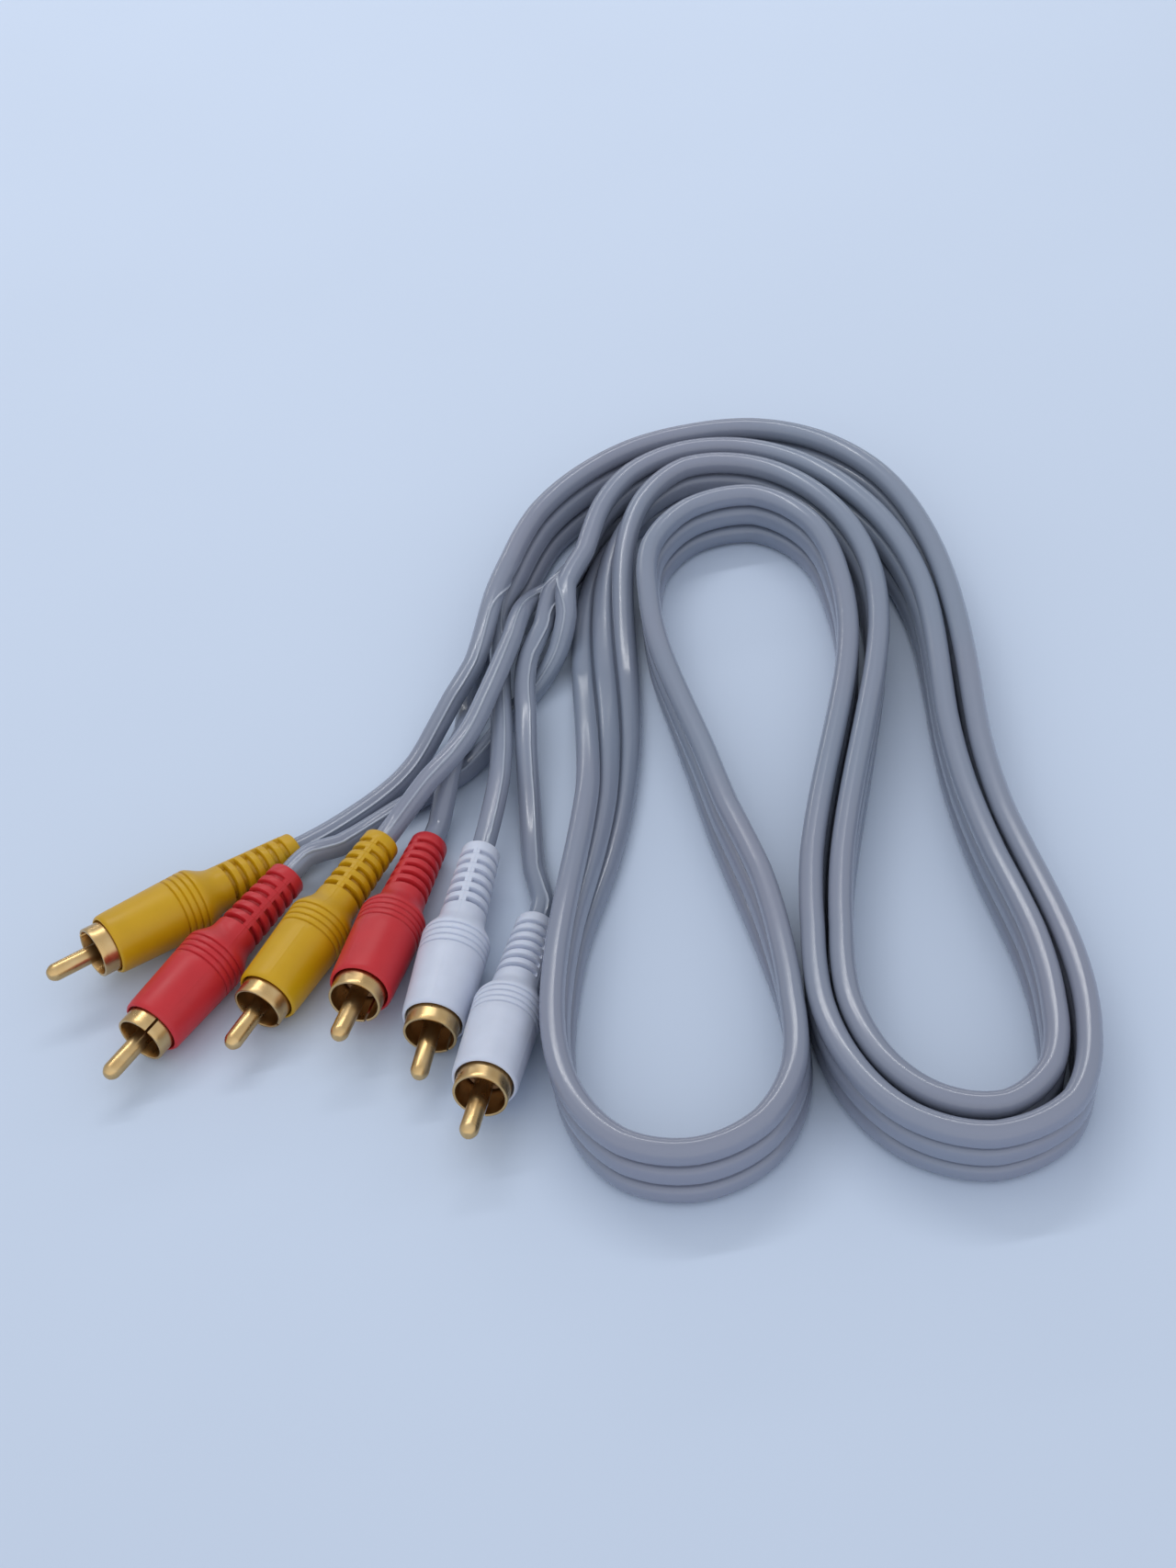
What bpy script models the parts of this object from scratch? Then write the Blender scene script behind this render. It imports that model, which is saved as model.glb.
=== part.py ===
"""Three-core audio and video cable with a phono plug on both ends of every core.

The cable lies coiled on a table, which is the plane z = 0. The three cores run
side by side as one ribbon, and part into single cords shortly before the plugs.
The row's zero is the point of the table under the middle of the six plugs.
"""

import math

import bmesh
import bpy
from mathutils import Matrix, Vector

MM = 0.001

# Clearances
FIT_GAP = 0.3 * MM  # between pieces that seat in or against each other

# Cable
CORD_DIAMETER = 4.2 * MM
CORD_RADIUS = CORD_DIAMETER / 2
CORD_PITCH = CORD_DIAMETER + FIT_GAP  # from core to core across the ribbon
CORD_BEVEL_RESOLUTION = 2
CORD_SEAT_DEPTH = 4.0 * MM  # how far a cord reaches into its strain relief
CORD_LEAD_OUT = 6.0 * MM  # straight stretch behind a strain relief
CORD_POINT_SPACING = 14.5 * MM

# Metal shell that grips the jack's sleeve
SHELL_RADIUS = 4.65 * MM
SHELL_WALL = 0.5 * MM
SHELL_PROUD = 3.0 * MM  # how far it stands out of the housing
SHELL_SLIT_WIDTH = 0.5 * MM
SHELL_SLIT_LENGTH = 7.0 * MM
SHELL_SEATED = 10.0 * MM  # length inside the housing

# Centre pin
PIN_RADIUS = 1.6 * MM
PIN_PROUD = 9.0 * MM  # from the shell's rim to the tip
PIN_TIP_LENGTH = 2.0 * MM
PIN_SEATED = 12.0 * MM  # from the housing's front face to the pin's back end

# Insulator between pin and shell
INSULATOR_RECESS = 5.5 * MM  # from the shell's rim to the insulator's face
INSULATOR_LENGTH = 7.0 * MM

# Moulded housing, measured back from its front face
FRONT_RADIUS = 5.6 * MM
FRONT_EDGE = 0.5 * MM
SHOULDER_RADIUS = 6.1 * MM
SHOULDER_AT = 17.75 * MM
GROOVE_COUNT = 4
GROOVE_PITCH = 1.3 * MM
GROOVE_WIDTH = 0.5 * MM
GROOVE_DEPTH = 0.35 * MM
CONE_LENGTH = 5.0 * MM
RELIEF_ROOT_RADIUS = 4.15 * MM
RELIEF_END_RADIUS = 3.5 * MM
HOUSING_LENGTH = 39.5 * MM
RELIEF_END_EDGE = 0.5 * MM

# Slots across the strain relief, alike on its two sides
SLOT_COUNT = 6
SLOT_PITCH = 2.35 * MM
SLOT_WIDTH = 1.0 * MM
SLOT_FLOOR_RADIUS = 2.8 * MM
SLOT_WRAP = math.radians(157)
END_COLLAR = 2.4 * MM  # plain stretch behind the last slot

ROUND_STEPS = 16  # facets round a housing
SLOT_STEPS = 6  # facets round a slot's floor
PIN_STEPS = 12

# Where the drawing's own zero lies, seen from the row's zero
LAYOUT_SHIFT = Vector((-0.5, 18.9, 0.0)) * MM

COLOURS = {
    "yellow": (0.72, 0.40, 0.012),
    "red": (0.60, 0.035, 0.045),
    "white": (0.74, 0.75, 0.78),
}
CORD_GREY = (0.27, 0.30, 0.36)
GOLD = (0.83, 0.60, 0.25)
DARK_BROWN = (0.10, 0.06, 0.035)

# Every plug: x and y in mm of the strain relief's end, the heading and the nose-up pitch
# of the axis, and the turn of the slots' solid spine and of the shell's slit round it
PLUGS = {
    "yellow_plug_a": dict(end=(-0.2, 19.0), heading=-148.3, pitch=6.7, spine=-36, slit=-72),
    "white_plug_a": dict(end=(34.2, 6.9), heading=-107.1, pitch=-0.7, spine=5, slit=144),
    "red_plug_a": dict(end=(24.7, 14.0), heading=-110.8, pitch=6.4, spine=-23, slit=162),
    "yellow_plug_b": dict(end=(16.4, 14.2), heading=-124.2, pitch=-0.4, spine=13, slit=126),
    "white_plug_b": dict(end=(41.9, -10.5), heading=-107.5, pitch=6.7, spine=75, slit=180),
    "red_plug_b": dict(end=(-1.1, 9.6), heading=-129.1, pitch=-0.1, spine=43, slit=36),
}

# The ribbon's middle core on the table: x and y in mm, and how far the first core's side
# of the ribbon leans to the left of the way it runs, in degrees from straight up
RIBBON = [
    (48.5, 84.0, 12),
    (55.3, 97.4, 14),
    (65.0, 107.2, 16),
    (77.0, 113.8, 14),
    (89.0, 115.5, 14),
    (102.0, 113.8, 15),
    (114.0, 106.2, 18),
    (123.7, 92.0, 16),
    (128.5, 73.0, 14),
    (129.5, 52.0, 12),
    (128.1, 30.0, 8),
    (125.9, 9.0, 4),
    (125.6, -10.0, 3),
    (127.3, -28.0, 3),
    (128.2, -45.0, 5),
    (126.3, -61.0, 6),
    (120.4, -73.8, 6),
    (107.5, -77.8, 2),
    (95.8, -71.6, 0),
    (89.0, -60.0, -2),
    (86.5, -46.0, -2),
    (88.2, -30.0, 0),
    (91.7, -12.0, 3),
    (97.8, 8.0, 0),
    (104.4, 27.0, -1),
    (108.8, 44.0, -4),
    (110.2, 62.0, -8),
    (108.0, 79.2, -9),
    (98.6, 91.0, -8),
    (85.6, 90.6, -4),
    (76.4, 81.0, -2),
    (73.6, 66.0, 0),
    (73.2, 51.0, 2),
    (74.6, 36.0, 4),
    (76.5, 20.0, 9),
    (78.1, 4.0, 12),
    (80.8, -14.0, 16),
    (82.0, -30.0, 8),
    (82.0, -44.0, 0),
    (80.0, -57.4, 0),
    (73.2, -67.6, -2),
    (62.0, -71.4, -4),
    (50.8, -67.2, -4),
    (44.4, -56.4, 0),
    (42.8, -43.0, 3),
    (44.9, -28.0, 7),
    (48.5, -14.0, 11),
    (53.6, 1.0, 26),
    (57.8, 16.0, 38),
    (60.6, 34.0, 62),
    (62.2, 52.0, 86),
    (64.2, 70.0, 110),
    (68.5, 86.6, 136),
    (75.9, 98.0, 162),
    (86.6, 104.4, 185),
    (98.0, 102.0, 192),
    (107.3, 93.7, 192),
    (114.0, 80.0, 192),
    (116.6, 63.0, 190),
    (114.5, 44.0, 187),
    (108.6, 24.0, 185),
    (102.2, 5.0, 182),
    (96.2, -14.0, 182),
    (92.7, -31.0, 182),
    (91.2, -46.0, 180),
    (94.4, -60.0, 178),
    (101.4, -69.2, 178),
    (110.6, -72.2, 177),
    (118.8, -66.6, 175),
    (122.4, -54.0, 174),
    (123.2, -38.0, 174),
    (121.5, -20.0, 176),
    (120.6, -2.0, 176),
    (121.4, 16.0, 175),
    (123.5, 34.0, 172),
    (124.9, 52.0, 169),
    (123.3, 69.0, 166),
    (118.4, 84.8, 164),
    (109.8, 99.0, 164),
    (98.4, 107.6, 164),
    (86.6, 109.8, 168),
    (75.4, 105.8, 177),
    (66.6, 96.4, 194),
    (60.8, 84.6, 208),
]

# The six single cords from the ribbon to their plugs: x, y and z of the centre in mm
TAILS = {
    "yellow_plug_a": [
        (43.3, 73.4, 11.0),
        (40.5, 64.4, 10.3),
        (37.4, 56.2, 9.0),
        (32.6, 49.5, 7.2),
        (28.0, 43.4, 4.6),
        (23.8, 37.8, 2.7),
        (18.6, 32.4, 2.1),
        (11.4, 26.8, 2.2),
    ],
    "white_plug_a": [
        (43.8, 73.0, 6.6),
        (43.0, 64.0, 6.4),
        (41.9, 53.0, 6.1),
        (41.3, 43.0, 6.6),
        (40.6, 35.0, 6.8),
        (39.2, 25.0, 6.8),
    ],
    "red_plug_a": [
        (42.4, 73.0, 2.1),
        (38.6, 65.0, 2.1),
        (35.6, 57.8, 2.1),
        (34.5, 50.4, 2.1),
        (33.4, 42.0, 4.0),
        (31.4, 34.0, 6.7),
        (29.6, 27.8, 6.2),
    ],
    "yellow_plug_b": [
        (50.8, 78.4, 4.4),
        (47.8, 69.6, 8.3),
        (45.5, 60.8, 9.9),
        (42.2, 51.0, 10.9),
        (38.9, 42.6, 11.3),
        (35.2, 34.4, 11.4),
        (31.0, 28.4, 11.2),
        (26.6, 24.4, 10.3),
    ],
    "white_plug_b": [
        (55.0, 77.0, 6.5),
        (51.9, 67.0, 6.4),
        (48.2, 58.0, 7.0),
        (46.6, 50.0, 7.2),
        (46.0, 42.0, 7.0),
        (45.0, 33.0, 5.6),
        (44.2, 23.0, 3.4),
        (43.4, 13.0, 2.1),
        (43.1, 4.0, 2.2),
    ],
    "red_plug_b": [
        (57.9, 74.6, 9.8),
        (56.8, 66.6, 8.2),
        (53.7, 60.0, 4.7),
        (48.9, 54.0, 2.5),
        (43.2, 47.4, 2.1),
        (38.0, 39.6, 2.1),
        (32.4, 33.6, 2.1),
        (25.6, 29.6, 2.1),
        (19.0, 26.0, 2.1),
        (12.9, 21.6, 2.7),
        (8.0, 17.4, 4.2),
    ],
}

# Each cord: the plug at either end, and its place across the ribbon from the middle core
CORDS = {
    "video_cord": dict(start="yellow_plug_a", finish="yellow_plug_b", place=1),
    "left_audio_cord": dict(start="white_plug_a", finish="white_plug_b", place=0),
    "right_audio_cord": dict(start="red_plug_a", finish="red_plug_b", place=-1),
}


def collection(name):
    made = bpy.data.collections.new(name)
    bpy.context.scene.collection.children.link(made)
    return made


def material(name, colour, roughness, metallic=0.0):
    made = bpy.data.materials.new(name)
    made.use_nodes = True
    shader = made.node_tree.nodes["Principled BSDF"]
    shader.inputs["Base Color"].default_value = (*colour, 1.0)
    shader.inputs["Roughness"].default_value = roughness
    shader.inputs["Metallic"].default_value = metallic
    return made


def turned(name, profile, steps, closed, group):
    """A solid turned about its own Z axis from (radius, height) points, top to bottom."""
    mesh = bpy.data.meshes.new(name)
    count = len(profile)
    edges = [(i, i + 1) for i in range(count - 1)]
    if closed:
        edges.append((count - 1, 0))
    mesh.from_pydata([(r, 0.0, z) for r, z in profile], edges, [])
    made = bpy.data.objects.new(name, mesh)
    group.objects.link(made)
    screw = made.modifiers.new("Turn", "SCREW")
    screw.steps = steps
    screw.render_steps = steps
    screw.use_merge_vertices = True
    screw.merge_threshold = 0.00001
    return made


def as_cutter(made):
    made.hide_render = True
    made.display_type = "WIRE"
    return made


def cut(target, cutter):
    boolean = target.modifiers.new("Cut " + cutter.name, "BOOLEAN")
    boolean.operation = "DIFFERENCE"
    boolean.solver = "EXACT"
    boolean.object = cutter


def settled_mesh(made):
    """The object's mesh with its modifiers applied, shaded smooth but for its edges."""
    depsgraph = bpy.context.evaluated_depsgraph_get()
    mesh = bpy.data.meshes.new_from_object(made.evaluated_get(depsgraph))
    mesh.name = made.name
    mesh.shade_smooth()
    mesh.set_sharp_from_angle(angle=math.radians(35))
    return mesh


def housing_profile():
    """Outline from the pin's pocket, round the outside, to the cord's bore; z runs forward."""
    bore = CORD_RADIUS + FIT_GAP
    back = -HOUSING_LENGTH
    slope = (SHOULDER_RADIUS - FRONT_RADIUS) / SHOULDER_AT
    points = [
        (0.0, -PIN_SEATED - FIT_GAP),
        (PIN_RADIUS + FIT_GAP, -PIN_SEATED - FIT_GAP),
        (PIN_RADIUS + FIT_GAP, -SHELL_SEATED - FIT_GAP),
        (SHELL_RADIUS + FIT_GAP, -SHELL_SEATED - FIT_GAP),
        (SHELL_RADIUS + FIT_GAP, 0.0),
        (FRONT_RADIUS - FRONT_EDGE, 0.0),
        (FRONT_RADIUS - 0.3 * FRONT_EDGE, -0.3 * FRONT_EDGE),
        (FRONT_RADIUS, -FRONT_EDGE),
    ]
    first_groove = SHOULDER_AT - GROOVE_WIDTH / 2 - (GROOVE_COUNT - 1) * GROOVE_PITCH
    for i in range(GROOVE_COUNT):
        at = first_groove + i * GROOVE_PITCH
        radius = FRONT_RADIUS + slope * at
        points += [
            (radius, -at + GROOVE_WIDTH / 2),
            (radius - GROOVE_DEPTH, -at),
            (radius, -at - GROOVE_WIDTH / 2),
        ]
    for share, drop in ((0.3, 0.12), (0.65, 0.55), (1.0, 1.0)):
        radius = SHOULDER_RADIUS + (RELIEF_ROOT_RADIUS - SHOULDER_RADIUS) * drop
        points.append((radius, -SHOULDER_AT - share * CONE_LENGTH))
    points += [
        (RELIEF_END_RADIUS, back + RELIEF_END_EDGE),
        (RELIEF_END_RADIUS - RELIEF_END_EDGE, back),
        (bore, back),
        (bore, back + CORD_SEAT_DEPTH + FIT_GAP),
        (0.0, back + CORD_SEAT_DEPTH + FIT_GAP),
    ]
    return points


def slot_cutter(group):
    """Twelve flat sectors, six on each side of the strain relief, as one cutter."""
    mesh = bpy.data.meshes.new("Slot cutter")
    bm = bmesh.new()
    outer = 1.3 * RELIEF_ROOT_RADIUS
    first = -HOUSING_LENGTH + END_COLLAR + SLOT_WIDTH
    for side in (0.0, math.pi):
        for i in range(SLOT_COUNT):
            front = first + i * SLOT_PITCH
            rim = []
            for radius, way in ((SLOT_FLOOR_RADIUS, 1), (outer, -1)):
                for step in range(SLOT_STEPS + 1):
                    turn = side + way * SLOT_WRAP * (step / SLOT_STEPS - 0.5)
                    rim.append((radius * math.cos(turn), radius * math.sin(turn), front))
            face = bm.faces.new([bm.verts.new(p) for p in rim])
            solid = bmesh.ops.extrude_face_region(bm, geom=[face])
            moved = [v for v in solid["geom"] if isinstance(v, bmesh.types.BMVert)]
            bmesh.ops.translate(bm, verts=moved, vec=(0.0, 0.0, -SLOT_WIDTH))
    bmesh.ops.recalc_face_normals(bm, faces=bm.faces)
    bm.to_mesh(mesh)
    bm.free()
    made = bpy.data.objects.new("Slot cutter", mesh)
    group.objects.link(made)
    return as_cutter(made)


def slit_cutter(group):
    """A thin box that parts the shell's wall at +X."""
    mesh = bpy.data.meshes.new("Slit cutter")
    bm = bmesh.new()
    bmesh.ops.create_cube(bm, size=1.0)
    reach = 4 * SHELL_WALL
    bmesh.ops.scale(bm, vec=(reach, SHELL_SLIT_WIDTH, 2 * SHELL_SLIT_LENGTH), verts=bm.verts)
    bmesh.ops.translate(bm, vec=(SHELL_RADIUS, 0.0, SHELL_PROUD), verts=bm.verts)
    bm.to_mesh(mesh)
    bm.free()
    made = bpy.data.objects.new("Slit cutter", mesh)
    group.objects.link(made)
    return as_cutter(made)


def plug_meshes(cutters):
    """The four pieces of a plug, with the axis on Z, the tip up and the front face at zero."""
    housing = turned("Housing form", housing_profile(), ROUND_STEPS, False, cutters)
    cut(housing, slot_cutter(cutters))
    inner = SHELL_RADIUS - SHELL_WALL
    shell_profile = [
        (SHELL_RADIUS, SHELL_PROUD),
        (SHELL_RADIUS, -SHELL_SEATED),
        (inner, -SHELL_SEATED),
        (inner, SHELL_PROUD),
    ]
    shell = turned("Shell form", shell_profile, ROUND_STEPS, True, cutters)
    cut(shell, slit_cutter(cutters))
    face = SHELL_PROUD - INSULATOR_RECESS
    insulator_profile = [
        (inner - FIT_GAP, face),
        (inner - FIT_GAP, face - INSULATOR_LENGTH),
        (PIN_RADIUS + FIT_GAP, face - INSULATOR_LENGTH),
        (PIN_RADIUS + FIT_GAP, face),
    ]
    insulator = turned("Insulator form", insulator_profile, ROUND_STEPS, True, cutters)
    tip = SHELL_PROUD + PIN_PROUD
    pin_profile = [
        (0.0, tip),
        (0.35 * PIN_RADIUS, tip),
        (0.72 * PIN_RADIUS, tip - 0.25 * PIN_TIP_LENGTH),
        (0.94 * PIN_RADIUS, tip - 0.6 * PIN_TIP_LENGTH),
        (PIN_RADIUS, tip - PIN_TIP_LENGTH),
        (PIN_RADIUS, -PIN_SEATED),
        (0.0, -PIN_SEATED),
    ]
    pin = turned("Pin form", pin_profile, PIN_STEPS, False, cutters)
    forms = dict(housing=housing, shell=shell, insulator=insulator, pin=pin)
    for form in forms.values():
        as_cutter(form)
    bpy.context.view_layer.update()
    return {piece: settled_mesh(form) for piece, form in forms.items()}


def plug_frame(plug):
    """Where a plug lies: its shoulder on the table, its axis at the heading and pitch."""
    heading = math.radians(plug["heading"])
    pitch = math.radians(plug["pitch"])
    ahead = Vector(
        (
            math.cos(pitch) * math.cos(heading),
            math.cos(pitch) * math.sin(heading),
            math.sin(pitch),
        )
    )
    left = Vector((-math.sin(heading), math.cos(heading), 0.0))
    over = ahead.cross(left)
    behind_shoulder = HOUSING_LENGTH - SHOULDER_AT
    height = SHOULDER_RADIUS * math.cos(pitch) - behind_shoulder * math.sin(pitch)
    x, y = plug["end"]
    end = Vector((x * MM, y * MM, height)) + LAYOUT_SHIFT
    front = end + ahead * HOUSING_LENGTH
    return front, end, ahead, left, over


def plug_matrix(plug, turn):
    """Turns a piece's Z onto the axis and its X to the clock angle seen from the tip."""
    front, _, ahead, left, over = plug_frame(plug)
    turn = math.radians(turn)
    across = over * math.cos(turn) + left * math.sin(turn)
    third = ahead.cross(across)
    return Matrix.Translation(front) @ Matrix((across, third, ahead)).transposed().to_4x4()


def smooth_curve(points, counts):
    """A centripetal spline through all points, with counts[i] steps on stretch i."""
    ends = [2 * points[0] - points[1]] + points + [2 * points[-1] - points[-2]]
    line = []
    for i, count in enumerate(counts):
        p = ends[i : i + 4]
        knots = [0.0]
        for a, b in zip(p, p[1:]):
            knots.append(knots[-1] + (b - a).length ** 0.5)
        for step in range(count):
            at = knots[1] + (knots[2] - knots[1]) * step / count
            row, level = p, 1
            while len(row) > 1:
                row = [
                    row[k]
                    + (row[k + 1] - row[k])
                    * ((at - knots[k]) / (knots[k + level] - knots[k]))
                    for k in range(len(row) - 1)
                ]
                level += 1
            line.append(row[0])
    line.append(points[-1])
    return line


def ribbon_points(place):
    """The route's points of one core: the ribbon rests on its lowest core."""
    made = []
    for i, (x, y, lean) in enumerate(RIBBON):
        before = RIBBON[max(i - 1, 0)]
        after = RIBBON[min(i + 1, len(RIBBON) - 1)]
        way = Vector((after[0] - before[0], after[1] - before[1], 0.0)).normalized()
        left = Vector((-way.y, way.x, 0.0))
        lean = math.radians(lean)
        side = Vector((0.0, 0.0, math.cos(lean))) + left * math.sin(lean)
        height = CORD_RADIUS + CORD_PITCH * abs(math.cos(lean))
        middle = Vector((x * MM, y * MM, height)) + LAYOUT_SHIFT
        made.append(middle + side * (place * CORD_PITCH))
    return made


def tail_points(plug_name):
    """From the seat in the strain relief to where the cord joins the ribbon."""
    _, end, ahead, _, _ = plug_frame(PLUGS[plug_name])
    seated = [end + ahead * CORD_SEAT_DEPTH, end - ahead * CORD_LEAD_OUT]
    free = [Vector(p) * MM + LAYOUT_SHIFT for p in TAILS[plug_name]]
    return seated + free[::-1]


def cord_line(cord):
    """The cord's centre from plug to plug, with steps shared by the ribbon's cores."""
    first = tail_points(cord["start"])
    last = tail_points(cord["finish"])[::-1]
    points = first + ribbon_points(cord["place"]) + last
    middle = first + ribbon_points(0) + last
    counts = []
    for a, b in zip(middle, middle[1:]):
        counts.append(max(1, round((b - a).length / CORD_POINT_SPACING)))
    return smooth_curve(points, counts)


def tube(name, line, group):
    curve = bpy.data.curves.new(name, "CURVE")
    curve.dimensions = "3D"
    curve.bevel_depth = CORD_RADIUS
    curve.bevel_resolution = CORD_BEVEL_RESOLUTION
    curve.use_fill_caps = True
    curve.twist_mode = "MINIMUM"
    spline = curve.splines.new("POLY")
    spline.points.add(len(line) - 1)
    for point, at in zip(spline.points, line):
        point.co = (*at, 1.0)
        point.radius = 1.0
    made = bpy.data.objects.new(name, curve)
    group.objects.link(made)
    return made


def build():
    for old in list(bpy.data.objects):
        bpy.data.objects.remove(old, do_unlink=True)
    parts = collection("Audio cable")
    cutters = collection("Cutters and forms")

    gold = material("Gold plate", GOLD, 0.22, 1.0)
    brown = material("Dark insulator", DARK_BROWN, 0.6)
    moulded = {name: material(name + " moulding", c, 0.35) for name, c in COLOURS.items()}
    grey = material("Grey cord", CORD_GREY, 0.4)

    meshes = plug_meshes(cutters)
    for name, plug in PLUGS.items():
        colour = name.split("_")[0]
        looks = dict(housing=moulded[colour], shell=gold, insulator=brown, pin=gold)
        turns = dict(housing=plug["spine"] + 90, shell=plug["slit"], insulator=0, pin=0)
        for piece, mesh in meshes.items():
            copy = mesh.copy()
            copy.materials.clear()
            copy.materials.append(looks[piece])
            made = bpy.data.objects.new(name + "_" + piece, copy)
            made.matrix_world = plug_matrix(plug, turns[piece])
            parts.objects.link(made)

    for name, cord in CORDS.items():
        made = tube(name, cord_line(cord), parts)
        made.data.materials.append(grey)

    for form in list(cutters.objects):
        form.hide_viewport = True


build()
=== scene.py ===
"""Looks of the three-core audio and video cable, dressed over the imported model.

The row's frame is in metres, with the table at z = 0. The three cords repeat the route
of the CAD model's cords on finer steps, with the webs that join them as a ribbon.
"""

import math

import bpy
from mathutils import Matrix, Vector, noise


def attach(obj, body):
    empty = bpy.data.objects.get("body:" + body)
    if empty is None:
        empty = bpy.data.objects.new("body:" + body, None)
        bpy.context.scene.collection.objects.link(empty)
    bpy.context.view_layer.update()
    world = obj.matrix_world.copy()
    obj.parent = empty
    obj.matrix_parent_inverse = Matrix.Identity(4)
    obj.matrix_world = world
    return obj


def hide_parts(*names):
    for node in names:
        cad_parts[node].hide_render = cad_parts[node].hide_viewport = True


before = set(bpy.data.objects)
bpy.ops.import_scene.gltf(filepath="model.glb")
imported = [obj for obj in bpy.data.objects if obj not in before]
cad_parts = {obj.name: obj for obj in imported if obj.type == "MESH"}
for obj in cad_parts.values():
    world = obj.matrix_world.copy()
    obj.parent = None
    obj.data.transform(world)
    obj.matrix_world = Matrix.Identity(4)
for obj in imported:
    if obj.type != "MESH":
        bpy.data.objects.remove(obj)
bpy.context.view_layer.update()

MM = 0.001

# Camera, fitted to the plugs and loops in the photograph
CAMERA_AT = Vector((54.8, -281.8, 308.4)) * MM
CAMERA_TO = Vector((54.8, 45.5, 0.0)) * MM
CAMERA_ROLL = math.radians(10.0)
CAMERA_LENS = 54.83  # mm
CAMERA_SENSOR = 36.0  # mm

# Cable, as in the CAD model
CORD_DIAMETER = 4.2 * MM
CORD_RADIUS = CORD_DIAMETER / 2
CORD_PITCH = 4.5 * MM
CORD_SEAT_DEPTH = 4.0 * MM
CORD_LEAD_OUT = 6.0 * MM
RING_SPACING = 1.5 * MM  # along a cord's mesh, finer than the CAD model's

# Plug, as in the CAD model but for the front edge's length
FIT_GAP = 0.3 * MM
SHELL_RADIUS = 4.65 * MM
SHELL_WALL = 0.5 * MM
SHELL_PROUD = 3.0 * MM
SHELL_SLIT_WIDTH = 0.5 * MM
SHELL_SLIT_LENGTH = 7.0 * MM
SHELL_SEATED = 10.0 * MM
PIN_RADIUS = 1.6 * MM
PIN_PROUD = 9.0 * MM
PIN_SEATED = 12.0 * MM
INSULATOR_RECESS = 5.5 * MM
INSULATOR_LENGTH = 7.0 * MM
FRONT_RADIUS = 5.6 * MM
FRONT_EDGE = 0.5 * MM
FRONT_EDGE_LENGTH = 0.9 * MM
SHOULDER_RADIUS = 6.1 * MM
SHOULDER_AT = 17.75 * MM
GROOVE_COUNT = 4
GROOVE_PITCH = 1.3 * MM
GROOVE_WIDTH = 0.5 * MM
GROOVE_DEPTH = 0.35 * MM
CONE_LENGTH = 5.0 * MM
RELIEF_ROOT_RADIUS = 4.15 * MM
RELIEF_END_RADIUS = 3.5 * MM
HOUSING_LENGTH = 39.5 * MM
RELIEF_END_EDGE = 0.5 * MM
SLOT_COUNT = 6
SLOT_PITCH = 2.35 * MM
SLOT_WIDTH = 1.0 * MM
SLOT_FLOOR_RADIUS = 2.8 * MM
SLOT_WRAP = 157  # degrees
END_COLLAR = 2.4 * MM

LAYOUT_SHIFT = Vector((-0.5, 18.9, 0.0)) * MM

# Every plug: x and y in mm of the strain relief's end; then, in degrees, the heading, the
# nose-up pitch, the turn of the slots' spine and of the shell's slit, and the turn of the
# torn web behind it
PLUGS = {
    "yellow_plug_a": dict(
        end=(-0.2, 19.0), heading=-148.3, pitch=6.7, spine=-36, slit=-72, web=5
    ),
    "white_plug_a": dict(
        end=(34.2, 6.9), heading=-107.1, pitch=-0.7, spine=5, slit=144, web=17
    ),
    "red_plug_a": dict(
        end=(24.7, 14.0), heading=-110.8, pitch=6.4, spine=-23, slit=162, web=150
    ),
    "yellow_plug_b": dict(
        end=(16.4, 14.2), heading=-124.2, pitch=-0.4, spine=13, slit=126, web=6
    ),
    "white_plug_b": dict(
        end=(41.9, -10.5), heading=-107.5, pitch=6.7, spine=75, slit=180, web=-22
    ),
    "red_plug_b": dict(
        end=(-1.1, 9.6), heading=-129.1, pitch=-0.1, spine=43, slit=36, web=10
    ),
}

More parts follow.
